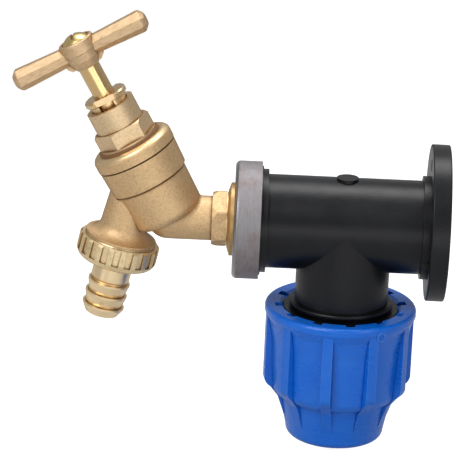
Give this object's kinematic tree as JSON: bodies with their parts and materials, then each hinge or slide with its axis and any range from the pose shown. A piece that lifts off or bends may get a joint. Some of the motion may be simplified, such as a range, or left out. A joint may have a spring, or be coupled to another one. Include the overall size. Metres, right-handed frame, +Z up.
{
  "type": "bib tap",
  "caption": "Outside bib tap with crutch handle and hose union, on a black wall-plate elbow with a blue compression nut for the supply pipe.",
  "frame": {"origin": "centre of the level supply tube in the plane of the wall face", "axes": "+X out of the back of the wall plate into the wall, -X towards the tap, +Z up, +Y to the far side"},
  "size_m": [0.1704, 0.0612, 0.1696],
  "materials": {
    "black_plastic": "moulded, semi-gloss",
    "blue_plastic": "moulded, semi-gloss",
    "pale_plastic": "moulded",
    "cast_brass": "cast and blasted, matt",
    "polished_brass": "turned, bright",
    "machined_brass": "turned",
    "screw_brass": "plated, bright",
    "pressed_steel": "satin",
    "fibre": "pressed fibre",
    "black_rubber": "matt",
    "packing": "waxy"
  },
  "bodies": {
    "root": {"fitting_body": "black_plastic", "reinforcing_ring": "pressed_steel", "threaded_insert": "machined_brass", "tap_body": "cast_brass", "headworks_bonnet": "cast_brass", "bonnet_washer": "fibre", "gland_packing": "packing", "pressing_bush": "black_plastic", "pipe_seal": "black_rubber"},
    "jumper": {"jumper_valve": "machined_brass", "tap_washer": "black_rubber", "washer_nut": "machined_brass"},
    "handle": {"spindle": "polished_brass", "crutch_handle": "cast_brass", "handle_screw": "screw_brass"},
    "gland_ring": {"gland_follower": "machined_brass"},
    "gland": {"gland_nut": "polished_brass"},
    "union_seal": {"hose_union_washer": "black_rubber"},
    "union_nut": {"hose_union_nut": "cast_brass"},
    "tail": {"hose_tail": "cast_brass"},
    "grip": {"grip_ring": "pale_plastic"},
    "pipe_nut": {"compression_nut": "blue_plastic"}
  },
  "joints": [
    {"name": "valve_lift", "type": "slide", "parent": "root", "child": "jumper", "axis": [-0.4909, 0, 0.8712], "range_m": [0, 0.0063]},
    {"name": "handle_turn", "type": "hinge", "parent": "jumper", "child": "handle", "pos_m": [-0.1239, 0, 0.02866], "axis": [-0.4909, 0, 0.8712], "range_deg": [0, 900]},
    {"name": "gland_lift", "type": "slide", "parent": "root", "child": "gland_ring", "axis": [-0.4909, 0, 0.8712], "range_m": [0, 0.0031]},
    {"name": "gland_nut_turn", "type": "hinge", "parent": "gland_ring", "child": "gland", "pos_m": [-0.1239, 0, 0.02866], "axis": [-0.4909, 0, 0.8712], "range_deg": [0, 1080]},
    {"name": "union_travel", "type": "slide", "parent": "root", "child": "union_seal", "axis": [-0.2079, 0, -0.9781], "range_m": [0, 0.0091]},
    {"name": "union_nut_turn", "type": "hinge", "parent": "union_seal", "child": "union_nut", "pos_m": [-0.13345, 0, -0.04095], "axis": [-0.2079, 0, -0.9781], "range_deg": [0, 1800]},
    {"name": "hose_tail_swivel", "type": "hinge", "parent": "union_seal", "child": "tail", "pos_m": [-0.13345, 0, -0.04095], "axis": [-0.2079, 0, -0.9781], "continuous": true},
    {"name": "grip_travel", "type": "slide", "parent": "root", "child": "grip", "axis": [0, 0, -1], "range_m": [0, 0.0121]},
    {"name": "pipe_nut_turn", "type": "hinge", "parent": "grip", "child": "pipe_nut", "pos_m": [-0.0394, 0, 0], "axis": [0, 0, -1], "range_deg": [0, 1080]}
  ],
  "couplings": [
    {"joint": "valve_lift", "follows": "handle_turn", "m_per_rad": 0.00039789},
    {"joint": "gland_lift", "follows": "gland_nut_turn", "m_per_rad": 0.00015915},
    {"joint": "union_travel", "follows": "union_nut_turn", "m_per_rad": 0.00028871},
    {"joint": "grip_travel", "follows": "pipe_nut_turn", "m_per_rad": 0.00063662}
  ]
}
